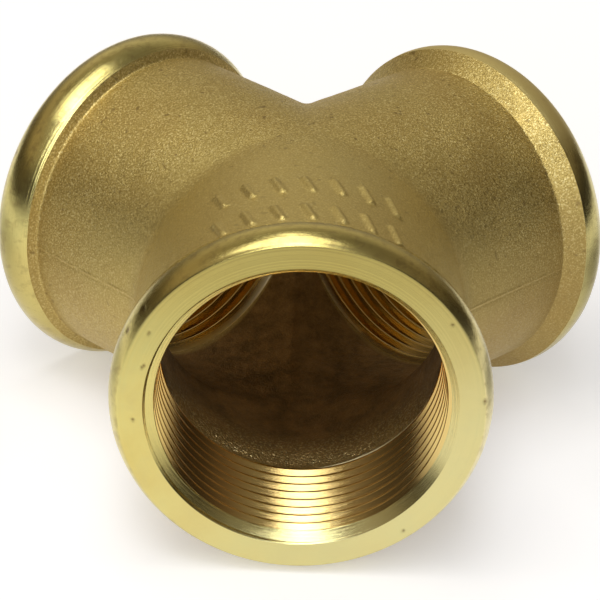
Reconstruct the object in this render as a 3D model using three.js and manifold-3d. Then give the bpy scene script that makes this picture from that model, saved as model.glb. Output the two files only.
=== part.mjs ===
// Three-way brass pipe fitting: one straight inlet socket and two outlet sockets that branch off at 45 degrees
// each side of its line, all with a G 1 1/2 female thread behind a rounded, machined rim.
//
// The real fitting is one casting. It is modelled as four zones that meet face to face: the hollow junction, and
// a threaded socket on each branch. All lengths are in millimetres, +Z is up, and the axes of the three sockets
// lie in one level plane. The origin is below that plane, at the bottom centre of the fitting's box, so the
// fitting stands on its three rims.

import * as THREE from "three";
import { mergeVertices } from "three/addons/utils/BufferGeometryUtils.js";
import Module from "manifold-3d";

const wasm = await Module();
wasm.setup();

// ---- Driving dimensions -------------------------------------------------------------------------------------

const BRANCH_ANGLE = Math.PI / 4; // from the inlet's line to each outlet
const FACE_DISTANCE = 45; // from the crossing of the axes to each socket's end face
const ARM_RADIUS = 26.6; // outside of the cast arms
const CHAMBER_RADIUS = 23.4; // cast passage inside the junction

// The rim around each mouth, its profile turned to one radius.
const RIM_RADIUS = 29.5;
const RIM_CREST = 3.9; // from the end face back to the rim's widest circle
const RIM_ROUNDING = 5.75;
const SHOULDER_TOP = 6.1; // from the end face back to where the rounding meets the conical shoulder
const SHOULDER_FOOT = 8.4; // from the end face back to where the shoulder meets the arm

// G 1 1/2 parallel pipe thread (ISO 228), 55 degree flanks with flat crests and roots.
const PITCH = 2.309;
const THREAD_CREST_RADIUS = 22.42;
const THREAD_ROOT_RADIUS = 23.9;
const THREAD_FLAT = 0.385; // width of each crest and each root along the axis
const MOUTH_RADIUS = 24.1; // of the chamfer's outer edge, in the end face
const MOUTH_CHAMFER = 1.5; // depth of the chamfer that leads into the thread
const THREAD_LENGTH = 19.8; // from the chamfer in to the wider cast passage
const TAP_OVERLAP = 0.2; // how far the tap's core stays inside the bore

const ZONE_GAP = 0.3; // clearance between neighbouring zones
const SIDES = 36; // facets around every round surface

// ---- Worked-out dimensions ----------------------------------------------------------------------------------

const THREAD_END = FACE_DISTANCE - MOUTH_CHAMFER - THREAD_LENGTH;
const JUNCTION_END = THREAD_END - ZONE_GAP;
const ROUNDING_CENTRE = {
  along: FACE_DISTANCE - RIM_CREST,
  radius: RIM_RADIUS - RIM_ROUNDING,
};
const FACE_EDGE_RADIUS = rimRadiusAt(FACE_DISTANCE);
// The outlets reach furthest back at the edge of their end faces.
const REAR_REACH = FACE_DISTANCE * Math.cos(BRANCH_ANGLE) + FACE_EDGE_RADIUS * Math.sin(BRANCH_ANGLE);
const CROSSING = new THREE.Vector3(0, (FACE_DISTANCE - REAR_REACH) / 2, RIM_RADIUS);

const SOCKETS = [
  { name: "front_socket", turn: Math.PI },
  { name: "left_socket", turn: BRANCH_ANGLE },
  { name: "right_socket", turn: -BRANCH_ANGLE },
];

const CAST_BRASS = new THREE.MeshStandardMaterial({ color: 0xa08a4e, roughness: 0.62, metalness: 1 });
const TURNED_BRASS = new THREE.MeshStandardMaterial({ color: 0xd9c46e, roughness: 0.28, metalness: 1 });

// ---- Solids -------------------------------------------------------------------------------------------------

/** Radius of the turned rim at a distance along the socket's axis. */
function rimRadiusAt(along) {
  const offset = along - ROUNDING_CENTRE.along;
  return ROUNDING_CENTRE.radius + Math.sqrt(RIM_ROUNDING ** 2 - offset ** 2);
}

/** A manifold-3d solid of a closed three.js geometry. */
function solidOf(geometry) {
  const bare = geometry.clone();
  bare.deleteAttribute("normal");
  bare.deleteAttribute("uv");
  const merged = mergeVertices(bare, 1e-4);
  const triVerts = new Uint32Array(merged.index.array);
  return new wasm.Manifold(
    new wasm.Mesh({ numProp: 3, vertProperties: merged.attributes.position.array, triVerts }),
  );
}

/** The three.js geometry of a manifold-3d solid, with its vertices split so that its facets stay flat. */
function geometryOf(solid) {
  const mesh = solid.getMesh();
  const indexed = new THREE.BufferGeometry();
  indexed.setAttribute("position", new THREE.BufferAttribute(new Float32Array(mesh.vertProperties), 3));
  indexed.setIndex(new THREE.BufferAttribute(new Uint32Array(mesh.triVerts), 1));
  const geometry = indexed.toNonIndexed();
  geometry.computeVertexNormals();
  return geometry;
}

/** A solid of revolution about +Y, from [radius, along] pairs that start and end on the axis. */
function turned(profile) {
  const points = profile.map(([radius, along]) => new THREE.Vector2(radius, along));
  return solidOf(new THREE.LatheGeometry(points, SIDES));
}

/** A round bar about +Y between two places along it. */
function bar(radius, from, to) {
  return turned([[0, from], [radius, from], [radius, to], [0, to]]);
}

/** A solid turned about +Z, as its branch is. */
function swung(solid, turn) {
  return solid.rotate([0, 0, THREE.MathUtils.radToDeg(turn)]);
}

/**
 * The tap that cuts the female thread: a right-hand screw about +Y. Each column of vertices climbs by a share of
 * the pitch, so the last column meets the first one a whole turn higher, and both ends close on the axis.
 */
function tap(from, turns) {
  const flank = (PITCH - 2 * THREAD_FLAT) / 2;
  const run = (flank * TAP_OVERLAP) / (THREAD_ROOT_RADIUS - THREAD_CREST_RADIUS);
  const core = THREAD_CREST_RADIUS - TAP_OVERLAP;
  const steps = [
    [run, core],
    [THREAD_FLAT - run, core],
    [THREAD_FLAT + flank, THREAD_ROOT_RADIUS],
    [2 * THREAD_FLAT + flank, THREAD_ROOT_RADIUS],
  ];
  const rows = steps.length * turns;
  const positions = [];
  for (let column = 0; column < SIDES; column++) {
    const angle = (2 * Math.PI * column) / SIDES;
    for (let row = 0; row <= rows; row++) {
      const [offset, radius] = steps[row % steps.length];
      const turn = Math.floor(row / steps.length) + column / SIDES;
      positions.push(radius * Math.sin(angle), from + turn * PITCH + offset, radius * Math.cos(angle));
    }
  }
  // A column one past the last is the first column, one turn further along.
  const at = (column, row) =>
    column < SIDES ? column * (rows + 1) + row : row + steps.length;
  const foot = positions.length / 3;
  const head = foot + 1;
  positions.push(0, from, 0);
  positions.push(0, from + (turns + 1) * PITCH, 0);

  const index = [];
  const footLoop = [];
  const headLoop = [];
  for (let column = 0; column < SIDES; column++) {
    const top = column < SIDES - 1 ? rows : rows - steps.length;
    for (let row = 0; row < top; row++) {
      const [a, b] = [at(column, row), at(column + 1, row)];
      const [c, d] = [at(column + 1, row + 1), at(column, row + 1)];
      index.push(a, b, c, a, c, d);
    }
    footLoop.push(at(column, 0));
    headLoop.push(at(column, rows));
  }
  for (let row = steps.length; row > 0; row--) {
    footLoop.push(at(0, row));
    headLoop.push(at(SIDES - 1, rows - 1 - (steps.length - row)));
  }
  footLoop.forEach((vertex, i) => index.push(foot, footLoop[(i + 1) % footLoop.length], vertex));
  headLoop.forEach((vertex, i) => index.push(head, vertex, headLoop[(i + 1) % headLoop.length]));

  const screw = new THREE.BufferGeometry();
  screw.setAttribute("position", new THREE.Float32BufferAttribute(positions, 3));
  screw.setIndex(index);
  return solidOf(screw);
}

/** The union of several solids. */
function together(solids) {
  return solids.reduce((whole, solid) => whole.add(solid));
}

/** Everything that is bored, tapped and chamfered out of one socket, about +Y. */
function socketTools() {
  const before = THREAD_END - 2 * PITCH;
  const beyond = FACE_DISTANCE + PITCH;
  const bore = bar(THREAD_CREST_RADIUS, before, beyond);
  const slope = (MOUTH_RADIUS - THREAD_CREST_RADIUS) / MOUTH_CHAMFER;
  const chamfer = turned([
    [0, FACE_DISTANCE - MOUTH_CHAMFER],
    [THREAD_CREST_RADIUS, FACE_DISTANCE - MOUTH_CHAMFER],
    [MOUTH_RADIUS + slope * PITCH, beyond],
    [0, beyond],
  ]);
  return bore.add(chamfer).add(tap(before, Math.ceil((beyond - before) / PITCH)));
}

/** The outside of one socket, solid to its axis, about +Y. */
function socketBlank() {
  const arcSteps = 5;
  const profile = [
    [0, THREAD_END],
    [ARM_RADIUS, THREAD_END],
    [ARM_RADIUS, FACE_DISTANCE - SHOULDER_FOOT],
  ];
  for (let step = 0; step <= arcSteps; step++) {
    const along = FACE_DISTANCE - SHOULDER_TOP * (1 - step / arcSteps);
    profile.push([rimRadiusAt(along), along]);
  }
  profile.push([0, FACE_DISTANCE]);
  return turned(profile);
}

/** A block far larger than the fitting whose near side is moved out to a distance along +Y. */
function blockBeyond(distance) {
  const reach = 4 * FACE_DISTANCE;
  const block = new THREE.BoxGeometry(reach, reach, reach);
  block.translate(0, distance + reach / 2, 0);
  return solidOf(block);
}

/** One threaded socket, about +Y. The two outlets stop short of the level where their arms run together. */
function socket(turn) {
  const made = socketBlank().subtract(socketTools());
  if (Math.abs(turn) > Math.PI / 2) {
    return made;
  }
  const towardsMiddle = -Math.sign(turn) * (Math.PI / 2 + Math.abs(turn));
  return made.subtract(swung(blockBeyond(-ZONE_GAP / 2), towardsMiddle));
}

/** The hollow centre of the casting, where the three passages run together. */
function junction() {
  const outside = SOCKETS.map(({ turn }) => swung(bar(ARM_RADIUS, 0, JUNCTION_END), turn));
  const inside = SOCKETS.map(({ turn }) => swung(bar(CHAMBER_RADIUS, 0, FACE_DISTANCE), turn));
  const beyond = SOCKETS.map(({ turn }) => swung(blockBeyond(JUNCTION_END), turn));
  return together(outside).subtract(together(inside)).subtract(together(beyond));
}

// ---- Assembly -----------------------------------------------------------------------------------------------

function piece(name, solid, material) {
  const mesh = new THREE.Mesh(geometryOf(solid), material);
  mesh.name = name;
  return mesh;
}

const fitting = new THREE.Group();
fitting.position.copy(CROSSING);
fitting.add(piece("junction_body", junction(), CAST_BRASS));
for (const { name, turn } of SOCKETS) {
  const branch = new THREE.Group();
  branch.rotation.z = turn;
  branch.add(piece(name, socket(turn), TURNED_BRASS));
  fitting.add(branch);
}

const part = new THREE.Group();
part.add(fitting);

export default part;
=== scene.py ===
import math

import bpy
import numpy as np
from mathutils import Matrix, Vector


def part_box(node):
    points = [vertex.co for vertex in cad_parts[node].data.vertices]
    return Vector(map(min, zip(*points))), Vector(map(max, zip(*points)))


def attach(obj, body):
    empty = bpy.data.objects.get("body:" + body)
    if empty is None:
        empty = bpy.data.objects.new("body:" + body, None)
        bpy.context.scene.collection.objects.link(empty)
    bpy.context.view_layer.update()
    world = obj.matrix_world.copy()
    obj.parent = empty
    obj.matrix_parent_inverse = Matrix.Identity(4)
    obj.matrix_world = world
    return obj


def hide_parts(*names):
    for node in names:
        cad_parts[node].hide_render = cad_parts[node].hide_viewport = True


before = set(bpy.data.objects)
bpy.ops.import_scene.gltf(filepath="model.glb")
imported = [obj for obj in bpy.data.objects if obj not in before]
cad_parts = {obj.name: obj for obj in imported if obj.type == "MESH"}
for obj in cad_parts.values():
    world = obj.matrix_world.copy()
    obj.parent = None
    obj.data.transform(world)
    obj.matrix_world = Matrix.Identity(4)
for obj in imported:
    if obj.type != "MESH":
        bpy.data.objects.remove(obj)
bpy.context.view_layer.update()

# Brass three-way pipe fitting: the cast body is one piece, and the machined end of each socket is another.
# Shapes are worked out in millimetres from the crossing of the three axes, and stored in metres in the
# CAD's frame. Materials, lights and the camera are in metres. Angles round an arm run from the top towards
# the arm's own +X side.

# ---- The CAD's dimensions, in millimetres --------------------------------------------------------------

FACE = 45.0  # from the crossing to each end face
ARM_R = 26.6
CHAMBER_R = 23.4
RIM_CREST = 41.1  # along the axis, of the rim's widest circle
RIM_CENTRE_R = 23.75  # of the circle on which the rim's rounding is centred
RIM_ROUNDING = 5.75
FOOT = 36.6  # along the axis, where the shoulder meets the arm
PITCH = 2.309
CREST_R = 22.42
ROOT_R = 23.9
MOUTH_R = 24.1
CHAMFER_DEPTH = 1.5
FACE_EDGE_R = RIM_CENTRE_R + math.sqrt(RIM_ROUNDING ** 2 - (FACE - RIM_CREST) ** 2)

low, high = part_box("front_socket")
CROSSING = np.array([0.0, low.y + FACE / 1000, (low.z + high.z) / 2])

# ---- Dimensions that only the visual has, in millimetres -----------------------------------------------

THREAD_ROUNDING = 0.317  # radius of the thread's crests and roots
SHOULDER_FILLET = 0.5
SEAT_GAP = 0.03  # round the hidden seat, between the body and a machined end
BAND_GAP = 0.004  # along the axis, between the cast skin and a machined band
# How far surfaces of an outlet stay from the upright plane between the two outlets.
BODY_CLEARANCE = 0.006
SEAT_CLEARANCE = 0.012
BORE_CLEARANCE = 0.03

# ---- The three arms ------------------------------------------------------------------------------------

# turn: about +Z from +Y. next_plus and next_minus: half the angle, in degrees, to the neighbour on the
# local +X and -X side. turned_band: how far the machined rounding reaches back from the end face.
# sleeve_r: of the hidden seat. phase: where in a turn the thread starts. rings: along the cast skin.
ARMS = [
    {"name": "front", "turn": math.pi, "next_plus": 67.5, "next_minus": 67.5, "turned_band": 5.2,
     "thread_end": 23.6, "inner_chamfer": 0.7, "sleeve_r": 24.25, "phase": 0.28, "rings": 96},
    {"name": "left", "turn": math.pi / 4, "next_plus": 45.0, "next_minus": 67.5, "turned_band": 7.6,
     "thread_end": 24.0, "inner_chamfer": 1.5, "sleeve_r": 24.08, "phase": 0.55, "rings": 60},
    {"name": "right", "turn": -math.pi / 4, "next_plus": 67.5, "next_minus": 45.0, "turned_band": 5.4,
     "thread_end": 24.0, "inner_chamfer": 0.5, "sleeve_r": 24.08, "phase": 0.1, "rings": 60},
]
ARM_NAMED = {arm["name"]: arm for arm in ARMS}


def axes_of(arm):
    """The arm's sideways and outward directions."""
    t = arm["turn"]
    return np.array([math.cos(t), math.sin(t), 0.0]), np.array([-math.sin(t), math.cos(t), 0.0])


def placed(arm, angle, along, radius):
    """Points at an angle round the arm's axis, a distance along it, and a radius."""
    side, out = axes_of(arm)
    up = np.array([0.0, 0.0, 1.0])
    return (np.multiply.outer(radius * np.sin(angle), side) + np.multiply.outer(along, out)
            + np.multiply.outer(radius * np.cos(angle), up))


def rim_radius(along):
    """Radius of the turned rim at a distance along the arm's axis."""
    return RIM_CENTRE_R + np.sqrt(RIM_ROUNDING ** 2 - (along - RIM_CREST) ** 2)


def clear_of_middle(arm, points, clearance):
    """Keeps an outlet's points on its own side of the upright plane between the two outlets."""
    if arm["name"] == "front":
        return points
    sign = -1.0 if arm["name"] == "left" else 1.0
    points = points.copy()
    points[..., 0] = sign * np.maximum(sign * points[..., 0], clearance)
    return points


# ---- Noise ---------------------------------------------------------------------------------------------

def lattice(ix, iy, iz, seed):
    """A repeatable random number from -1 to 1 for each lattice point. The constants scramble its bits."""
    n = ix * 73856093 ^ iy * 19349663 ^ iz * 83492791 ^ seed * 2654435761
    n &= 0xFFFFFFFF
    n = ((n ^ (n >> 15)) * 739188371) & 0xFFFFFFFF
    n = ((n ^ (n >> 13)) * 1274126177) & 0xFFFFFFFF
    n ^= n >> 16
    return (n & 0xFFFF) / 32767.5 - 1.0


def noise(points, size, seed):
    """Smooth value noise from -1 to 1 with features of a size in millimetres."""
    scaled = points / size
    cell = np.floor(scaled).astype(np.int64)
    f = scaled - cell
    f = f * f * (3 - 2 * f)
    total = np.zeros(len(points))
    for corner in range(8):
        step = np.array([corner & 1, corner >> 1 & 1, corner >> 2 & 1])
        weight = np.prod(np.where(step, f, 1 - f), axis=1)
        at = cell + step
        total += weight * lattice(at[:, 0], at[:, 1], at[:, 2], seed)
    return total


def layered(points, layers):
    """A sum of noises, each given by its height, the size of its features and its seed."""
    return sum(height * noise(points, size, seed) for height, size, seed in layers)


def smooth(value, low_edge, high_edge):
    """0 below low_edge, 1 above high_edge, and smooth between them."""
    t = np.clip((value - low_edge) / (high_edge - low_edge), 0, 1)
    return t * t * (3 - 2 * t)


# ---- Meshes --------------------------------------------------------------------------------------------

WELD_DECIMALS = 4  # points that agree to this many decimals of a millimetre are one vertex


class Sheet:
    """Rings of vertices joined into a closed skin. Vertices in the same place become one."""

    def __init__(self):
        self.points = []
        self.quads = []
        self.count = 0

    def rings(self, points, wrap=None):
        """Adds an array of rings (ring, vertex, xyz), each joined to the next.

        A ring closes on its own first vertex, or on that of the ring that wrap names, as a helix does.
        """
        n_rings, n_cols = points.shape[:2]
        ids = self.count + np.arange(n_rings * n_cols).reshape(n_rings, n_cols)
        self.points.append(points.reshape(-1, 3))
        self.count += n_rings * n_cols
        beside = np.roll(ids, -1, axis=1)
        if wrap is not None:
            beside[:, -1] = ids[wrap, 0]
        quads = np.stack([ids[:-1], beside[:-1], beside[1:], ids[1:]], axis=-1)
        self.quads.append(quads.reshape(-1, 4))

    def welded(self):
        """The vertices, the faces as tuples of 3 or 4 numbers, and which vertex each added point became."""
        points = np.concatenate(self.points)
        quads = np.concatenate(self.quads)
        key = np.round(points, WELD_DECIMALS)
        _, first, same = np.unique(key, axis=0, return_index=True, return_inverse=True)
        order = np.argsort(first)
        rank = np.empty_like(order)
        rank[order] = np.arange(len(order))
        same = rank[same.reshape(-1)]
        faces = []
        for quad in same[quads].tolist():
            face = [v for i, v in enumerate(quad) if v != quad[i - 1]]
            if len(set(face)) == len(face) and len(face) > 2:
                faces.append(tuple(face))
        return points[first[order]], faces, same


def vertex_normals(points, faces):
    """Area-weighted vertex normals."""
    normals = np.zeros_like(points)
    for size in (3, 4):
        group = np.array([f for f in faces if len(f) == size])
        if not len(group):
            continue
        a = points[group[:, -1]] - points[group[:, 1]]
        b = points[group[:, 2 % size]] - points[group[:, 0]]
        cross = np.cross(b, a)
        for k in range(size):
            np.add.at(normals, group[:, k], cross)
    length = np.linalg.norm(normals, axis=1, keepdims=True)
    return normals / np.maximum(length, 1e-12)


def make_piece(name, points, faces, attributes, sharp_angle):
    """A Blender object from points in millimetres about the crossing, smooth but for its sharp edges."""
    mesh = bpy.data.meshes.new(name)
    mesh.from_pydata((points / 1000 + CROSSING).tolist(), [], faces)
    mesh.update()
    for label, values in attributes.items():
        layer = mesh.attributes.new(label, "FLOAT", "POINT")
        layer.data.foreach_set("value", values.astype(np.float32))
    mesh.shade_smooth()
    mesh.set_sharp_from_angle(angle=math.radians(sharp_angle))
    piece = bpy.data.objects.new(name, mesh)
    bpy.context.scene.collection.objects.link(piece)
    return piece


# ---- Smoothly joined arms ------------------------------------------------------------------------------

SETTLE_ROUNDS = 5
NOTCH_FILLET = 2.4  # outside, between the two outlets
SIDE_FILLET = 7.0  # outside, between the inlet and each outlet
INLET_EDGE_ROUNDING = 3.0  # inside, where the inlet's bore crosses the outlets'
REAR_EDGE_LEAST = 0.35  # inside, where the two outlets' bores cross
REAR_EDGE_MOST = 2.2
REAR_EDGE_SHARE = 0.85  # of the room that is left in front of the rear threads


def blend_radius_outside(rear_pair, height):
    """Radius of the fillets outside, which is the same at every height."""
    return np.where(rear_pair, NOTCH_FILLET, SIDE_FILLET)


def blend_radius_inside(rear_pair, height):
    """Rounding of the edges where the bores cross. The rear one ends before the rear threads start."""
    room = ARM_NAMED["left"]["thread_end"] - np.sqrt(np.maximum(CHAMBER_R ** 2 - height ** 2, 0))
    rear = np.clip(room * REAR_EDGE_SHARE, REAR_EDGE_LEAST, REAR_EDGE_MOST)
    return np.where(rear_pair, rear, INLET_EDGE_ROUNDING)


def settle(points, radius, blend_radius):
    """Moves points onto the smooth union of three round bars that start at the crossing."""
    outs = [axes_of(arm)[1] for arm in ARMS]
    pick = np.arange(len(points))
    for _ in range(SETTLE_ROUNDS):
        fields, normals = [], []
        for out in outs:
            along = np.maximum(points @ out, 0)
            away = points - np.multiply.outer(along, out)
            length = np.linalg.norm(away, axis=1)
            fields.append(length - radius)
            normals.append(away / length[:, None])
        fields, normals = np.array(fields), np.array(normals)
        # Only the two nearest bars shape the surface at a point.
        order = np.argsort(fields, axis=0, kind="stable")
        a, b = fields[order[0], pick], fields[order[1], pick]
        na, nb = normals[order[0], pick], normals[order[1], pick]
        rear_pair = (order[0] > 0) & (order[1] > 0)
        half = np.sqrt(np.clip((1 + np.sum(na * nb, axis=1)) / 2, 0, 1))
        width = 4 * blend_radius(rear_pair, points[:, 2]) * (1 - half) + 1e-6
        h = np.clip((width - (b - a)) / width, 0, 1)
        value = a - h * h * width / 4
        slope = na * (1 - h / 2)[:, None] + nb * (h / 2)[:, None]
        points = points - slope * (value / np.sum(slope * slope, axis=1))[:, None]
    return points


# ---- The cast body's rings -----------------------------------------------------------------------------

FILLET_RINGS = 4
SHOULDER_RINGS = 5
CHAMBER_RINGS = 14

# How much of the cast texture a ring takes. Below zero marks the chamber.
SKIN_TEXTURE = 1.0
FILLET_TEXTURE = 0.7
SHOULDER_TEXTURE = 0.6
CHAMBER_TEXTURE = -1.0
HIDDEN = 0.0

BAND_WAVER = [(0.16, 0.5, 3), (0.07, 0.12, 4)]


def ring_spacing(degrees):
    """Millimetres between points at an angle from the top: small over the dashes and the parting line."""
    from_parting_line = abs(degrees - 90)
    if from_parting_line < 1.6:
        return 0.16
    if from_parting_line < 4:
        return 0.35
    return 0.36 if degrees < 33 else 0.72


def body_angles():
    """Angles round each arm, the same on both sides, with one exactly at the parting line."""
    steps = [0.0]
    while steps[-1] < math.pi:
        steps.append(steps[-1] + ring_spacing(math.degrees(steps[-1])) / ARM_R)
    half = np.array(steps) * math.pi / steps[-1]
    half[np.argmin(abs(half - math.pi / 2))] = math.pi / 2
    return np.concatenate([-half[-2:0:-1], half])


def band_start(arm, angle):
    """Where the machined band starts along the axis: a slightly uneven line on the cast skin."""
    ring = np.stack([np.sin(angle), np.cos(angle), np.full_like(angle, arm["turn"])], axis=1)
    return FACE - arm["turned_band"] + layered(ring, BAND_WAVER)


def seam_start(arm, angle, radius):
    """Where an arm's surface starts, in the plane halfway to its neighbour."""
    plus = np.maximum(np.sin(angle), 0) / math.tan(math.radians(arm["next_plus"]))
    minus = np.maximum(-np.sin(angle), 0) / math.tan(math.radians(arm["next_minus"]))
    return radius * (plus + minus)


def outside_rings(arm, angle):
    """Rings from the seam to the machined band, as (along, radius, texture)."""
    begin = seam_start(arm, angle, ARM_R)
    edge = band_start(arm, angle)
    edge_r = rim_radius(edge)
    rise = np.arctan2(edge_r - ARM_R, edge - FOOT)
    fillet_start = FOOT - SHOULDER_FILLET * np.tan(rise / 2)
    rows = []
    for i in range(arm["rings"] + 1):
        along = begin + (fillet_start - begin) * i / arm["rings"]
        rows.append((along, np.full_like(angle, ARM_R), SKIN_TEXTURE))
    for i in range(1, FILLET_RINGS + 1):
        turn = rise * i / FILLET_RINGS
        along = fillet_start + SHOULDER_FILLET * np.sin(turn)
        rows.append((along, ARM_R + SHOULDER_FILLET * (1 - np.cos(turn)), FILLET_TEXTURE))
    along, radius, _ = rows[-1]
    for i in range(1, SHOULDER_RINGS):
        share = i / SHOULDER_RINGS
        rows.append((along + (edge - along) * share, radius + (edge_r - radius) * share, SHOULDER_TEXTURE))
    rows.append((edge, edge_r, HIDDEN))
    return rows


def body_rings(arm, angle):
    """Every ring of one arm of the body: over the skin, along the hidden seat, and down the chamber."""
    edge = band_start(arm, angle)
    seat = np.full_like(angle, arm["sleeve_r"] + SEAT_GAP)
    end = np.full_like(angle, arm["thread_end"])
    rows = outside_rings(arm, angle)
    rows.append((edge, (rim_radius(edge) + seat) / 2, HIDDEN))
    rows.append((edge, seat, HIDDEN))
    rows.append(((edge + end) / 2, seat, HIDDEN))
    rows.append((end, seat, HIDDEN))
    chamber = np.full_like(angle, CHAMBER_R)
    rows.append((end, chamber, HIDDEN))
    begin = seam_start(arm, angle, CHAMBER_R)
    for i in range(1, CHAMBER_RINGS + 1):
        rows.append((end + (begin - end) * i / CHAMBER_RINGS, chamber, CHAMBER_TEXTURE))
    return rows


# ---- The cast body's relief ----------------------------------------------------------------------------

CAST_SKIN = [(0.09, 9.0, 21), (0.035, 3.2, 22), (0.018, 1.5, 23), (0.012, 0.8, 24)]

MARK_ROWS = [20.8, 30.6]  # along the inlet, the middles of two rows of plain raised dashes
MARKS_EACH_SIDE = 3
MARK_PITCH = 4.7
MARK_LENGTH = 4.9
MARK_WIDTH = 1.1
MARK_SLANT = 0.32
MARK_HEIGHT = 0.5
MARK_EDGE = 0.24  # half the width of a dash's sloping edge
MARK_LIMIT = 8.0  # along the inlet, where the marked zone starts

FLASH_HEIGHT = 0.13
FLASH_WIDTH = 0.22
MISMATCH_DEPTH = 0.07  # of the slight step between the mould's halves
MISMATCH_WIDTH = 0.25
MISMATCH_BELOW = 0.42

DENT_SHARPNESS = 1.6
NICKS = [  # arm, degrees from the top, along, radius of the dent, depth
    ("right", 62.0, 17.5, 1.0, 0.2),
    ("right", -20.0, 22.0, 0.8, 0.16),
    ("right", 80.0, 30.0, 1.2, 0.18),
    ("right", -150.0, 20.0, 1.2, 0.2),
    ("left", -48.0, 24.0, 1.1, 0.16),
    ("left", -75.0, 29.0, 0.9, 0.14),
    ("left", 20.0, 20.0, 1.2, 0.14),
    ("left", 60.0, 31.0, 1.0, 0.15),
    ("left", 140.0, 24.0, 1.4, 0.2),
    ("left", -90.0, 37.6, 0.45, -0.3),
    ("front", 52.0, 30.0, 1.0, 0.15),
    ("front", -58.0, 22.0, 0.8, 0.15),
    ("front", 175.0, 28.0, 1.3, 0.2),
]


def mark_height(points):
    """Two rows of plain slanted dashes raised on top of the inlet, in place of the maker's lettering."""
    across, along, up = points[:, 0], -points[:, 1], points[:, 2]
    arc = ARM_R * np.arctan2(across, up)
    height = np.zeros(len(points))
    for middle in MARK_ROWS:
        for k in range(-MARKS_EACH_SIDE, MARKS_EACH_SIDE + 1):
            dx = np.abs(arc - k * MARK_PITCH - MARK_SLANT * (along - middle)) - MARK_WIDTH / 2
            dy = np.abs(along - middle) - MARK_LENGTH / 2
            away = np.hypot(np.maximum(dx, 0), np.maximum(dy, 0)) + np.minimum(np.maximum(dx, dy), 0)
            height = np.maximum(height, 1 - smooth(away, -MARK_EDGE, MARK_EDGE))
    return MARK_HEIGHT * height


def parting_line(points):
    """The mould's parting line: a thin ragged flash at half height, and a slight step between halves."""
    up = points[:, 2]
    ragged = np.clip(0.6 + 0.6 * noise(points, 2.2, 11), 0.15, 1.2)
    flash = FLASH_HEIGHT * np.exp(-(up / FLASH_WIDTH) ** 2) * ragged
    step = MISMATCH_DEPTH * np.exp(-((up + MISMATCH_BELOW) / MISMATCH_WIDTH) ** 2)
    return flash - step


def dents(points):
    """Small knocks in the cast skin, and one lump of flash, whose depth is negative."""
    lift = np.zeros(len(points))
    for name, degrees, along, size, depth in NICKS:
        centre = placed(ARM_NAMED[name], math.radians(degrees), along, ARM_R)
        near = np.linalg.norm(points - centre, axis=1) / size
        lift -= depth * np.exp(-DENT_SHARPNESS * near ** 2)
    return lift


# ---- The cast body -------------------------------------------------------------------------------------

def body_surface():
    """The plain body's points and faces, each point's texture, and whether it's on an arm's outside."""
    angle = body_angles()
    sheet = Sheet()
    marks = []
    for arm in ARMS:
        along, radius, texture = (np.array(column) for column in zip(*body_rings(arm, angle)))
        points = placed(arm, angle, along, radius)
        hidden = texture == HIDDEN
        points[hidden] = clear_of_middle(arm, points[hidden], BODY_CLEARANCE)
        sheet.rings(points)
        outside = np.arange(len(texture)) <= arm["rings"]
        marks.append(np.repeat(np.stack([texture, outside], axis=1), len(angle), axis=0))
    points, faces, same = sheet.welded()
    texture, outside = np.zeros((2, len(points)))
    texture[same], outside[same] = np.concatenate(marks).T
    return points, faces, texture, outside > 0


def cast_body():
    """The whole casting: its grainy skin, the seats of the machined ends, and the chamber."""
    points, faces, texture, outside = body_surface()
    chamber = texture < 0
    points[outside] = settle(points[outside], ARM_R, blend_radius_outside)
    points[chamber] = settle(points[chamber], CHAMBER_R, blend_radius_inside)
    lift = layered(points, CAST_SKIN) + dents(points) + np.where(chamber, 0, parting_line(points))
    marked = outside & (points[:, 2] > 0) & (points[:, 1] < -MARK_LIMIT)
    lift = np.abs(texture) * lift + np.where(marked, mark_height(points), 0)
    points = points + vertex_normals(points, faces) * lift[:, None]
    # Where the front light falls on the chamber's floor near the front mouth: painted light and painted
    # glints go there.
    near_mouth = smooth(-points[:, 1], 8, 24) ** 2 * smooth(-points[:, 2], 6, 19)
    attributes = {"cavity": np.where(chamber, 1.0, 0.0), "lit_mouth_zone": np.where(chamber, near_mouth, 0.0)}
    piece = make_piece("cast_body", points, faces, attributes, sharp_angle=50)
    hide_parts("junction_body")
    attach(piece, "root")
    return piece


# ---- The machined ends' rings --------------------------------------------------------------------------

END_COLUMNS = 432
THREAD_ARC = np.radians([-62.5, -44.0, -22.0, 0.0, 22.0, 44.0, 62.5])  # round each crest and each root

FACE_RINGS = 22
TURNING_STEP = 0.003  # depth of the faint steps that the tool leaves on the face
TURNING_DRAW = (7, 0, 31)  # which of the repeatable random numbers the steps use

BAND_RINGS = 18
# The face's slightly broken edge: where it starts on the face, its middle, and where it ends on the band.
BREAK_ON_FACE = 0.22
BREAK_MIDDLE_DOWN = 0.03
BREAK_MIDDLE_IN = 0.07
BREAK_ON_BAND = 0.16
BAND_WAVES = [(0.016, 3.4, 41), (0.005, 1.1, 42)]
BAND_STRETCH = 1.6  # of the waves' pattern, along the axis


def thread_steps():
    """Offsets within one pitch, and the radius there: a round crest, a straight flank, and a round root."""
    across = THREAD_ROUNDING * np.sin(THREAD_ARC)
    across = across - across[0]
    sagitta = THREAD_ROUNDING * (1 - np.cos(THREAD_ARC))
    offsets = np.concatenate([across, across + PITCH / 2])
    radii = np.concatenate([CREST_R + sagitta, ROOT_R - sagitta])
    return offsets, radii


def thread_radius(travel):
    """Radius of the tapped thread at a distance that has the helix's climb taken off."""
    offsets, radii = thread_steps()
    return np.interp(np.mod(travel, PITCH), np.append(offsets, PITCH), np.append(radii, radii[0]))


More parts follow.
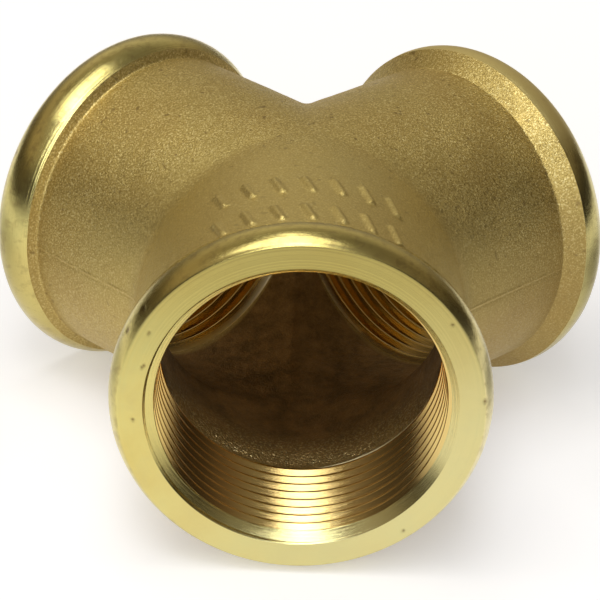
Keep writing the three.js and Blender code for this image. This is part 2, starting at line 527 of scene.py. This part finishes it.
def bore_rings(arm, angle):
    """Rings of the tapped bore, which follow the thread's helix and are cut off square at both ends."""
    start = arm["thread_end"]
    climb = PITCH * (angle / (2 * math.pi) + arm["phase"])
    offsets, _ = thread_steps()
    rows = []
    for turn in range(math.floor(start / PITCH) - 2, math.ceil(FACE / PITCH) + 1):
        for offset in offsets:
            along = turn * PITCH + offset + climb
            if along.max() > start - PITCH and along.min() < FACE + PITCH:
                rows.append(np.clip(along, start, FACE))
    along = np.array(rows)
    slope = (MOUTH_R - CREST_R) / CHAMFER_DEPTH
    mouth_chamfer = MOUTH_R - (FACE - along) * slope
    inner_chamfer = CREST_R + start + arm["inner_chamfer"] - along
    radius = np.maximum(np.maximum(thread_radius(along - climb), mouth_chamfer), inner_chamfer)
    return list(zip(along, radius))


def face_rings(angle):
    """Rings of the end face, from the mouth's edge out, with faint turning steps."""
    number = np.arange(1, FACE_RINGS + 1)
    radius = MOUTH_R + (FACE_EDGE_R - BREAK_ON_FACE - MOUTH_R) * number / FACE_RINGS
    along = FACE - TURNING_STEP * (1 + lattice(number, *TURNING_DRAW))
    along[0] = FACE
    return [(np.full_like(angle, a), np.full_like(angle, r)) for a, r in zip(along, radius)]


def band_rings(arm, angle):
    """Rings of the turned rounding, from the face's slightly broken edge back to the cast skin."""
    middle_r = FACE_EDGE_R - BREAK_MIDDLE_IN
    rows = [(np.full_like(angle, FACE - BREAK_MIDDLE_DOWN), np.full_like(angle, middle_r))]
    start = FACE - BREAK_ON_BAND
    edge = band_start(arm, angle) + BAND_GAP
    for i in range(BAND_RINGS + 1):
        along = start + (edge - start) * i / BAND_RINGS
        across, up = FACE_EDGE_R * np.sin(angle), FACE_EDGE_R * np.cos(angle)
        ring = np.stack([across, up, along * BAND_STRETCH], axis=1)
        wave = sum(height for height, _, _ in BAND_WAVES) + layered(ring, BAND_WAVES)
        rows.append((along, rim_radius(along) - wave * smooth(i, 0, 3)))
    return rows


def seat_rings(arm, angle):
    """Rings of the hidden seat, from the band's edge back to the bore's inner end."""
    edge = band_start(arm, angle) + BAND_GAP
    end = np.full_like(angle, arm["thread_end"])
    sleeve = np.full_like(angle, arm["sleeve_r"])
    return [(edge, sleeve), ((edge + end) / 2, sleeve), (end, sleeve)]


# ---- The machined ends ---------------------------------------------------------------------------------

ZONE_MARGIN = 0.05  # a zone's edge lies this far off the radius that it is told by
RIGHT_SIDE_SHADE = 0.45  # how strong the thread's painted shade is on the right, next to the left
KNOCKS = [  # arm, degrees from the top, along, radius, size, depth
    ("front", 62.0, FACE, 26.4, 0.26, 0.06),
    ("front", 74.0, FACE, 24.9, 0.24, 0.06),
    ("front", 75.2, FACE, 25.1, 0.22, 0.05),
    ("front", 96.0, FACE, 25.6, 0.25, 0.06),
    ("front", -141.0, FACE, 26.8, 0.24, 0.08),
    ("front", -54.0, FACE, 27.0, 0.24, 0.06),
    ("front", -84.0, FACE, FACE_EDGE_R, 0.35, 0.14),
    ("front", 57.0, 43.6, 28.9, 0.45, 0.12),
    ("front", 66.0, 43.2, 29.1, 0.5, 0.1),
    ("left", -60.0, 43.9, 28.8, 0.4, 0.06),
    ("left", 90.0, FACE, 26.0, 0.25, 0.06),
    ("right", 30.0, 42.5, 29.3, 0.4, 0.06),
    ("right", 150.0, FACE, 25.4, 0.25, 0.06),
    ("right", -70.0, FACE, 27.1, 0.25, 0.06),
]


def end_surface(arm):
    """A machined end's points and faces: bore, face, turned band, and the hidden seat back to the bore."""
    angle = np.arange(END_COLUMNS) * 2 * math.pi / END_COLUMNS
    bore = bore_rings(arm, angle)
    shown = bore + face_rings(angle) + band_rings(arm, angle)
    rings = []
    for rows, clearance in ((shown, BORE_CLEARANCE), (seat_rings(arm, angle), SEAT_CLEARANCE)):
        along, radius = (np.array(column) for column in zip(*rows))
        rings.append(clear_of_middle(arm, placed(arm, angle, along, radius), clearance))
    rings.append(rings[0][:1])
    points = np.concatenate(rings)
    # In the bore, the last column meets the first one a whole turn of the thread further along.
    wrap = np.arange(len(points))
    wrap[:len(bore)] = np.minimum(wrap[:len(bore)] + 2 * len(THREAD_ARC), len(bore) - 1)
    sheet = Sheet()
    sheet.rings(points, wrap)
    points, faces, _ = sheet.welded()
    return points, [face[::-1] for face in faces]


def end_attributes(arm, points):
    """How far the turning tool had travelled at each point, and how much each zone's look shows there.

    depth grows from the mouth's chamfer to the thread's end, and lead is the chamfer there.
    thread_side_shade is painted shade low on both sides of the front thread, and stronger on the left.
    satin is the top of the right end's band.
    """
    out = axes_of(arm)[1]
    along = points @ out
    away = np.linalg.norm(points - np.multiply.outer(along, out), axis=1)
    inner_end = arm["thread_end"] + arm["inner_chamfer"]
    bore = np.where(away < MOUTH_R - ZONE_MARGIN, 1 - smooth(along, FACE - 2.4, FACE - 1.4), 0.0)
    band = np.where(away > FACE_EDGE_R - ZONE_MARGIN, 1.0, 0.0)
    depth = smooth(FACE - along, 3, FACE - inner_end) * smooth(along, inner_end - 0.3, inner_end + 0.6)
    # Painted shade on both sides of the front thread, stronger on the left.
    from_bottom = np.abs(np.degrees(np.arctan2(points[:, 0], -points[:, 2])))
    sides = smooth(from_bottom, 14, 30) * (1 - smooth(from_bottom, 48, 72))
    left_and_right = np.where(points[:, 0] < 0, 1.0, RIGHT_SIDE_SHADE)
    return {
        "travel": away + along,
        "bore": bore,
        "band": band,
        "depth": bore * depth,
        "lead": bore * (1 - smooth(along, inner_end - 0.5, inner_end - 0.1)),
        "thread_side_shade": bore * sides * left_and_right * (arm["name"] == "front"),
        "satin": band * smooth(points[:, 2], 17, 23) * (arm["name"] == "right"),
    }


def knocked(arm, points, faces):
    """Small pits and dings in a machined end, and how much of the dirt in them each vertex shows."""
    normals = vertex_normals(points, faces)
    dirt = np.zeros(len(points))
    for name, degrees, along, radius, size, depth in KNOCKS:
        if name == arm["name"]:
            centre = placed(arm, math.radians(degrees), along, radius)
            near = np.exp(-(np.linalg.norm(points - centre, axis=1) / size) ** 2)
            points = points - normals * (depth * near)[:, None]
            dirt = np.maximum(dirt, near)
    return points, dirt


def machined_end(arm):
    """One socket's machined end: tapped bore, chamfers, end face and turned band."""
    points, faces = end_surface(arm)
    attributes = end_attributes(arm, points)
    points, attributes["dirt"] = knocked(arm, points, faces)
    piece = make_piece(arm["name"] + "_end", points, faces, attributes, sharp_angle=30)
    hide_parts(arm["name"] + "_socket")
    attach(piece, "root")
    return piece


# ---- Writing node materials ----------------------------------------------------------------------------

def opaque(colour):
    """A colour of three numbers with its alpha added. Anything else stays as it is."""
    return (*colour, 1) if isinstance(colour, tuple) else colour


class Graph:
    """A short way to write a node material."""

    def __init__(self, name):
        self.material = bpy.data.materials.new(name)
        self.material.use_nodes = True
        self.tree = self.material.node_tree
        self.tree.nodes.clear()
        self.output = self.tree.nodes.new("ShaderNodeOutputMaterial")

    @classmethod
    def of_tree(cls, tree):
        """The same, for a tree that exists already."""
        made = cls.__new__(cls)
        made.tree = tree
        return made

    def node(self, kind, inputs=(), **settings):
        made = self.tree.nodes.new(kind)
        for key, value in settings.items():
            setattr(made, key, value)
        for key, value in dict(inputs).items():
            socket = made.inputs[key]
            if isinstance(value, bpy.types.NodeSocket):
                self.tree.links.new(value, socket)
            else:
                socket.default_value = value
        return made

    def position(self):
        return self.node("ShaderNodeTexCoord").outputs["Object"]

    def split(self, vector):
        """The X, Y and Z of a vector."""
        return self.node("ShaderNodeSeparateXYZ", {"Vector": vector}).outputs

    def noise(self, vector, scale, detail=3.0, rough=0.55):
        inputs = {"Vector": vector, "Scale": scale, "Detail": detail, "Roughness": rough}
        return self.node("ShaderNodeTexNoise", inputs).outputs["Fac"]

    def lines(self, value, scale, detail=2.0, rough=0.6):
        """Noise that changes along one number only."""
        inputs = {"W": value, "Scale": scale, "Detail": detail, "Roughness": rough}
        return self.node("ShaderNodeTexNoise", inputs, noise_dimensions="1D").outputs["Fac"]

    def attribute(self, name):
        return self.node("ShaderNodeAttribute", attribute_name=name).outputs["Fac"]

    def ramp(self, value, *stops):
        """Colours, or greys, at places from 0 to 1."""
        made = self.node("ShaderNodeValToRGB", {"Fac": value})
        ramp = made.color_ramp
        while len(ramp.elements) < len(stops):
            ramp.elements.new(1.0)
        for element, (place, colour) in zip(ramp.elements, stops):
            element.position = place
            element.color = opaque(colour if isinstance(colour, tuple) else (colour, colour, colour))
        return made.outputs["Color"]

    def fade(self, value, start, stop, low=0.0, high=1.0):
        """A straight change from low, where the value is start, to high, where it is stop."""
        inputs = {0: value, 1: start, 2: stop, 3: low, 4: high}
        return self.node("ShaderNodeMapRange", inputs).outputs[0]

    def math(self, operation, a, b):
        return self.node("ShaderNodeMath", {0: a, 1: b}, operation=operation).outputs[0]

    def plus(self, a, b):
        return self.math("ADD", a, b)

    def minus(self, a, b):
        return self.math("SUBTRACT", a, b)

    def times(self, a, b):
        return self.math("MULTIPLY", a, b)

    def mix(self, factor, a, b, blend="MIX"):
        """The first colour, with a share of the second one."""
        inputs = {0: factor, 6: opaque(a), 7: opaque(b)}
        return self.node("ShaderNodeMix", inputs, data_type="RGBA", blend_type=blend).outputs[2]

    def bump(self, height, distance, strength=1.0, normal=None):
        inputs = {"Height": height, "Distance": distance, "Strength": strength}
        if normal is not None:
            inputs["Normal"] = normal
        return self.node("ShaderNodeBump", inputs).outputs["Normal"]

    def surface(self, **inputs):
        """Ends the material with a Principled shader, and gives the material."""
        inputs = {key.replace("_", " "): value for key, value in inputs.items()}
        shader = self.node("ShaderNodeBsdfPrincipled", inputs)
        self.tree.links.new(shader.outputs["BSDF"], self.output.inputs["Surface"])
        return self.material


# ---- Cast brass ----------------------------------------------------------------------------------------

# Colours are linear red, green and blue. Patches, and the chamber's staining and painted shade, have them
# at places from 0 to 1.
CAST_PATCHES = [(0.3, (0.54, 0.395, 0.122)), (0.5, (0.58, 0.44, 0.142)), (0.7, (0.565, 0.445, 0.152))]
DARK_GRAIN = (0.36, 0.26, 0.08)
BRIGHT_GRAIN = (0.85, 0.73, 0.34)
PIT = (0.26, 0.18, 0.06)
INLET_SKIN = (0.62, 0.50, 0.18)
# Painted shade on the cast skin, low down and on the right.
PAINTED_LOW_SHADE = (0.36, 0.25, 0.085)
# Partly real staining and partly painted shade, over the whole chamber.
CHAMBER_STAIN_AND_SHADE = [(0.38, (0.11, 0.058, 0.013)), (0.62, (0.29, 0.165, 0.055))]
# Painted light and painted glints on the chamber's floor near the front mouth.
PAINTED_MOUTH_LIGHT = (0.60, 0.44, 0.17)
PAINTED_GLINT = (1.0, 0.84, 0.42)


def cast_skin_colour(g, place, inlet):
    """Patches, light and dark grains, pits, and painted shade that deepens towards the floor and to the
    right.
    """
    colour = g.ramp(g.noise(place, 60.0, 3.0), *CAST_PATCHES)
    grain = g.noise(place, 3200.0, 2.0, 0.6)
    colour = g.mix(g.ramp(grain, (0.36, 0.6), (0.5, 0.0)), colour, DARK_GRAIN)
    colour = g.mix(g.ramp(grain, (0.54, 0.0), (0.64, 0.8)), colour, BRIGHT_GRAIN)
    pits = g.ramp(g.noise(place, 620.0, 1.0), (0.24, 0.7), (0.31, 0.0))
    colour = g.mix(pits, colour, PIT)
    colour = g.mix(g.times(inlet, 0.55), colour, INLET_SKIN)
    at = g.split(place)
    # Painted shade: darker lower down, and more so on the right.
    painted_low_shade_mask = g.fade(at["Z"], 0.046, 0.024, 0.0, 0.52)
    rightwards = g.fade(at["X"], -0.02, 0.03, 0.8, 1.4)
    return g.mix(g.times(painted_low_shade_mask, rightwards), colour, PAINTED_LOW_SHADE)


def chamber_colour(g, place, colour, cavity, lit_mouth_zone, painted_glints):
    """The dark staining and painted shade inside, and painted light with painted glints near the front
    mouth.
    """
    # Staining and painted shade darken the chamber.
    stain_and_shade = g.ramp(g.noise(place, 170.0, 9.0, 0.78), *CHAMBER_STAIN_AND_SHADE)
    colour = g.mix(g.times(cavity, 0.92), colour, stain_and_shade)
    # Painted light near the front mouth, and painted glints on it.
    colour = g.mix(g.times(lit_mouth_zone, 0.8), colour, PAINTED_MOUTH_LIGHT)
    return g.mix(painted_glints, colour, PAINTED_GLINT)


def cast_relief(g, place, inlet, cavity, lit_mouth_zone):
    """Fine and coarse grain, which is calmer on the inlet and rougher in the chamber."""
    sharpness = g.ramp(g.noise(place, 95.0, 2.0), (0.38, 0.45), (0.6, 1.0))
    sharpness = g.times(sharpness, g.minus(1.25, g.times(inlet, 0.75)))
    normal = g.bump(g.noise(place, 1000.0, 2.0, 0.5), 0.0001, 0.5)
    normal = g.bump(g.noise(place, 3600.0, 3.0, 0.65), 0.00011, sharpness, normal)
    normal = g.bump(g.noise(place, 420.0, 5.0, 0.7), 0.0007, g.times(cavity, 0.5), normal)
    return g.bump(g.noise(place, 1900.0, 1.0), 0.0016, lit_mouth_zone, normal)


def cast_brass():
    """The grainy cast skin outside and in the chamber."""
    g = Graph("cast_brass")
    place = g.position()
    cavity = g.attribute("cavity")
    lit_mouth_zone = g.attribute("lit_mouth_zone")
    inlet = g.fade(g.split(place)["Y"], -0.002, -0.014)
    painted_glints = g.times(g.ramp(g.noise(place, 2600.0, 1.0), (0.55, 0.0), (0.62, 1.0)), lit_mouth_zone)
    colour = cast_skin_colour(g, place, inlet)
    colour = chamber_colour(g, place, colour, cavity, lit_mouth_zone, painted_glints)
    rough = g.ramp(g.noise(place, 3400.0, 2.0), (0.36, 0.6), (0.52, 0.5), (0.66, 0.36))
    rough = g.minus(rough, g.times(painted_glints, 0.3))
    normal = cast_relief(g, place, inlet, cavity, lit_mouth_zone)
    return g.surface(Base_Color=colour, Metallic=1.0, Roughness=rough, Normal=normal)


# ---- Machined brass ------------------------------------------------------------------------------------

TURNED_PATCHES = [(0.32, (0.66, 0.53, 0.17)), (0.5, (0.70, 0.60, 0.21)), (0.68, (0.66, 0.605, 0.23))]
TURNING_MARK = (0.64, 0.52, 0.16)
BLOTCH = (0.62, 0.52, 0.2)
# Painted reflection, paler to the lower right.
LOWER_RIGHT_PAINTED_REFLECTION = (0.68, 0.62, 0.32)
# Painted shade on top of the front end.
UPPER_FRONT_PAINTED_SHADE = (0.56, 0.45, 0.125)
BORE_GOLD = (0.74, 0.52, 0.18)
# Painted shade, deeper in each bore.
DEEP_BORE_PAINTED_SHADE = (0.60, 0.36, 0.115)
BAND_GOLD = (0.60, 0.51, 0.185)
# Painted reflection on the front end's band.
BAND_PAINTED_REFLECTION = (0.93, 0.83, 0.48)
BAND_SHADE = (0.42, 0.33, 0.12)
BAND_WEAR = (0.40, 0.31, 0.11)
# Painted shade on the sides of the front thread.
THREAD_PAINTED_SHADE = (0.62, 0.35, 0.105)
# Painted reflection on the inner chamfer.
LEAD_PAINTED_REFLECTION = (0.93, 0.84, 0.5)
DIRT = (0.16, 0.10, 0.035)
SATIN_GOLD = (0.80, 0.66, 0.27)


def turned_colour(g, place, front, turning):
    """Patches, turning marks and blotches, with a painted reflection to the lower right and painted shade
    on top of the front end.
    """
    colour = g.ramp(g.noise(place, 75.0, 4.0, 0.6), *TURNED_PATCHES)
    colour = g.mix(g.ramp(turning, (0.35, 0.3), (0.55, 0.0)), colour, TURNING_MARK)
    blotches = g.ramp(g.noise(place, 260.0, 3.0, 0.6), (0.3, 0.35), (0.48, 0.0))
    colour = g.mix(blotches, colour, BLOTCH)
    at = g.split(place)
    # Painted reflection: paler to the lower right, where the floor is mirrored.
    colour = g.mix(g.fade(g.minus(at["X"], at["Z"]), -0.045, 0.0, 0.0, 0.6), colour, LOWER_RIGHT_PAINTED_REFLECTION)
    # Painted shade: a deeper, dimmer gold on top of the front end.
    upper_shade_mask = g.fade(at["Z"], 0.034, 0.052, 0.0, 0.7)
    return g.mix(g.times(front, upper_shade_mask), colour, UPPER_FRONT_PAINTED_SHADE)


def band_colour(g, place, colour, front, band, streak):
    """The band: a painted reflection on the front end's lower right side, painted shade low on the outlets,
    and worn in streaks.
    """
    at = g.split(place)
    colour = g.mix(g.times(band, 0.6), colour, BAND_GOLD)
    # Painted reflection: paler on the lower right of the front end's band.
    rightwards = g.fade(at["X"], 0.004, 0.02, 0.0, 0.45)
    downwards = g.fade(at["Z"], 0.048, 0.034, 0.15, 1.0)
    painted_reflection_mask = g.times(g.times(front, band), g.times(rightwards, downwards))
    colour = g.mix(painted_reflection_mask, colour, BAND_PAINTED_REFLECTION)
    # Painted shade low on the outlets' bands.
    painted_low_shade_mask = g.fade(at["Z"], 0.03, 0.012, 0.0, 0.45)
    colour = g.mix(g.times(painted_low_shade_mask, g.minus(1.0, front)), colour, BAND_SHADE)
    return g.mix(g.times(band, g.ramp(streak, (0.36, 0.55), (0.5, 0.0))), colour, BAND_WEAR)


def machined_relief(g, place, turning, bore, band, streak):
    """Coarse and fine turning marks and a slight waver, all weaker in the bore, and the band's streaks."""
    fine = g.lines(g.attribute("travel"), 16.0, 2.0)
    normal = g.bump(turning, 0.00006, g.minus(0.4, g.times(bore, 0.3)))
    normal = g.bump(fine, 0.00002, g.minus(0.4, g.times(bore, 0.15)), normal)
    normal = g.bump(g.noise(place, 450.0, 3.0), 0.00005, g.minus(0.25, g.times(bore, 0.2)), normal)
    return g.bump(streak, 0.00009, g.times(band, 0.35), normal)


def machined_brass():
    """Bright turned brass, golden in the bores."""
    g = Graph("machined_brass")
    place = g.position()
    bore = g.attribute("bore")
    band = g.attribute("band")
    lead = g.attribute("lead")
    satin = g.attribute("satin")
    front = g.fade(g.split(place)["Y"], -0.030, -0.044)
    turning = g.lines(g.attribute("travel"), 2.2, 3.0)
    streak = g.noise(place, 520.0, 5.0, 0.7)
    colour = turned_colour(g, place, front, turning)
    colour = g.mix(g.times(bore, 0.75), colour, BORE_GOLD)
    # Painted shade: dimmer and browner deeper in each bore.
    colour = g.mix(g.times(g.attribute("depth"), 0.6), colour, DEEP_BORE_PAINTED_SHADE)
    colour = band_colour(g, place, colour, front, band, streak)
    # Painted shade on both sides of the front thread.
    colour = g.mix(g.times(g.attribute("thread_side_shade"), 0.75), colour, THREAD_PAINTED_SHADE)
    # Painted reflection: a pale crescent on the inner chamfer at the thread's end.
    colour = g.mix(g.times(lead, 0.9), colour, LEAD_PAINTED_REFLECTION)
    colour = g.mix(g.attribute("dirt"), colour, DIRT)
    colour = g.mix(g.times(satin, 0.8), colour, SATIN_GOLD)
    rough = g.ramp(turning, (0.3, 0.17), (0.7, 0.26))
    rough = g.times(rough, g.minus(1.0, g.times(bore, 0.35)))
    rough = g.plus(rough, g.times(lead, 0.3))
    rough = g.plus(rough, g.times(satin, 0.25))
    normal = machined_relief(g, place, turning, bore, band, streak)
    return g.surface(Base_Color=colour, Metallic=1.0, Roughness=rough, Normal=normal)


# ---- The studio floor ----------------------------------------------------------------------------------

FLOOR_REACH = 1.3
# Soft spots of painted shade on the floor beside the fitting, in metres: half their width and length, and
# how far back.
SPOT_WIDTH = 0.088
SPOT_LENGTH = 0.095
SPOT_BACK = 0.02
PAINTED_SHADE_SPOTS = [(0.125, 0.72), (-0.125, 0.46)]  # how far sideways, and how dark


def painted_shade_spot(g, at, middle, depth):
    """A round, soft-edged spot of painted shade on the floor, as a share from 0 at its edge to its full
    depth.
    """
    across = g.math("DIVIDE", g.minus(at["X"], middle), SPOT_WIDTH)
    along = g.math("DIVIDE", g.minus(at["Y"], SPOT_BACK), SPOT_LENGTH)
    away = g.math("POWER", g.plus(g.times(across, across), g.times(along, along)), 0.5)
    shares = [(0.0, 1.0), (0.35, 0.88), (0.6, 0.46), (0.82, 0.1), (1.0, 0.0)]
    return g.ramp(away, *((place, depth * share) for place, share in shares))


def floor_white():
    """Pale floor: painted shade in front and in soft spots beside the fitting, with a slight glow that
    grows behind it.
    """
    g = Graph("studio_floor")
    place = g.position()
    at = g.split(place)
    cloud = g.ramp(g.noise(place, 4.0, 2.0), (0.3, 0.86), (0.7, 0.88))
    # Painted shade: dimmer in front of the fitting and in the spots beside it.
    darker = g.plus(*(painted_shade_spot(g, at, middle, depth) for middle, depth in PAINTED_SHADE_SPOTS))
    level = g.times(g.fade(at["Y"], -0.19, -0.09, 0.45, 1.0), g.minus(1.0, darker))
    colour = g.mix(1.0, cloud, level, "MULTIPLY")
    glow = g.times(level, g.fade(at["Y"], 0.04, 0.22, 0.34, 0.48))
    return g.surface(Base_Color=colour, Roughness=0.85, Emission_Color=(1.0, 1.0, 1.0, 1.0),
                     Emission_Strength=glow)


def studio_floor():
    """A flat square, which is part of the stage and not of the object."""
    size = FLOOR_REACH
    mesh = bpy.data.meshes.new("studio_floor")
    corners = [(-size, -size, 0), (size, -size, 0), (size, size, 0), (-size, size, 0)]
    mesh.from_pydata(corners, [], [(0, 1, 2, 3)])
    floor = bpy.data.objects.new("studio_floor", mesh)
    bpy.context.scene.collection.objects.link(floor)
    mesh.materials.append(floor_white())


# ---- Lights and camera ---------------------------------------------------------------------------------

CAMERA_AZIMUTH = -1.534
CAMERA_ELEVATION = 27.596
CAMERA_ROLL = 2.986
CAMERA_DISTANCE = 0.422774
CAMERA_AIM = (0.163, 0, -4.574)  # from the crossing, in millimetres
LENS_LENGTH = 150.73
SENSOR_WIDTH = 36


def facing(target, azimuth, elevation, distance, roll=0.0):
    """Where something stands that faces a target. Azimuth 0 is in front, and 90 is on the right."""
    a, e, r = (math.radians(v) for v in (azimuth, elevation, roll))
    back = Vector((math.sin(a) * math.cos(e), -math.cos(a) * math.cos(e), math.sin(e)))
    right = Vector((math.cos(a), math.sin(a), 0))
    up = back.cross(right)
    rolled_right = right * math.cos(r) + up * math.sin(r)
    rolled_up = up * math.cos(r) - right * math.sin(r)
    turn = Matrix((rolled_right, rolled_up, back)).transposed().to_4x4()
    return Matrix.Translation(target + back * distance) @ turn


def softbox(name, azimuth, elevation, distance, width, height, power, colour=(1, 1, 1)):
    """A rectangular light that faces the crossing."""
    light = bpy.data.lights.new(name, "AREA")
    light.shape = "RECTANGLE"
    light.size, light.size_y = width, height
    light.energy = power
    light.color = colour
    lamp = bpy.data.objects.new(name, light)
    bpy.context.scene.collection.objects.link(lamp)
    lamp.matrix_world = facing(Vector(CROSSING), azimuth, elevation, distance)


def room_level(g, direction):
    """Brightness of the dim room: dark at floor level, lighter above, behind and on the left."""
    height = g.ramp(direction["Z"], (0.04, 0.03), (0.3, 0.075), (0.5, 0.31), (0.72, 0.26), (1.0, 0.22))
    behind = g.ramp(direction["Y"], (0.3, 0.0), (0.8, 0.36))
    behind = g.times(behind, g.fade(direction["X"], -0.7, -0.2, 0.3, 1.0))
    behind = g.times(behind, g.ramp(direction["Z"], (0.0, 0.55), (0.42, 1.0), (0.6, 1.0), (0.8, 0.2)))
    sideways = g.fade(direction["X"], -1.0, 1.0, 1.5, 0.55)
    return g.times(g.plus(height, behind), sideways)


def studio_room():
    """The dim, warm room round the softboxes, which is warmer still on both sides."""
    world = bpy.data.worlds.new("studio_room")
    world.use_nodes = True
    g = Graph.of_tree(world.node_tree)
    direction = g.split(g.node("ShaderNodeTexCoord").outputs["Generated"])
    beside = g.ramp(g.math("ABSOLUTE", direction["X"], 0.0), (0.35, 0.0), (0.9, 1.0))
    colour = g.mix(beside, (1.0, 0.89, 0.72), (1.0, 0.79, 0.54))
    shade = g.node("ShaderNodeBackground", {"Color": colour, "Strength": room_level(g, direction)})
    output = world.node_tree.nodes.get("World Output")
    world.node_tree.links.new(shade.outputs[0], output.inputs["Surface"])
    return world


def lights():
    """A small softbox high on the left, a tall one in front, and the dim room. Sizes are in metres."""
    softbox("softbox_top", -50, 76.5, 0.62, 0.36, 0.45, 1.5)
    softbox("softbox_front", -3.9, 38, 0.95, 0.26, 1.25, 4.8, (0.97, 1.0, 1.1))
    bpy.context.scene.world = studio_room()


def camera():
    """A long lens that looks down at the fitting, almost in line with the inlet."""
    lens = bpy.data.cameras.new("camera")
    lens.sensor_width = SENSOR_WIDTH
    lens.lens = LENS_LENGTH
    eye = bpy.data.objects.new("camera", lens)
    bpy.context.scene.collection.objects.link(eye)
    target = Vector(CROSSING) + Vector(CAMERA_AIM) / 1000
    eye.matrix_world = facing(target, CAMERA_AZIMUTH, CAMERA_ELEVATION, CAMERA_DISTANCE, CAMERA_ROLL)
    bpy.context.scene.camera = eye


# ---- Assembly ------------------------------------------------------------------------------------------

camera()
studio_floor()
lights()
bpy.context.scene.view_settings.view_transform = "Standard"

cast_body().data.materials.append(cast_brass())
turned_finish = machined_brass()
for arm in ARMS:
    machined_end(arm).data.materials.append(turned_finish)
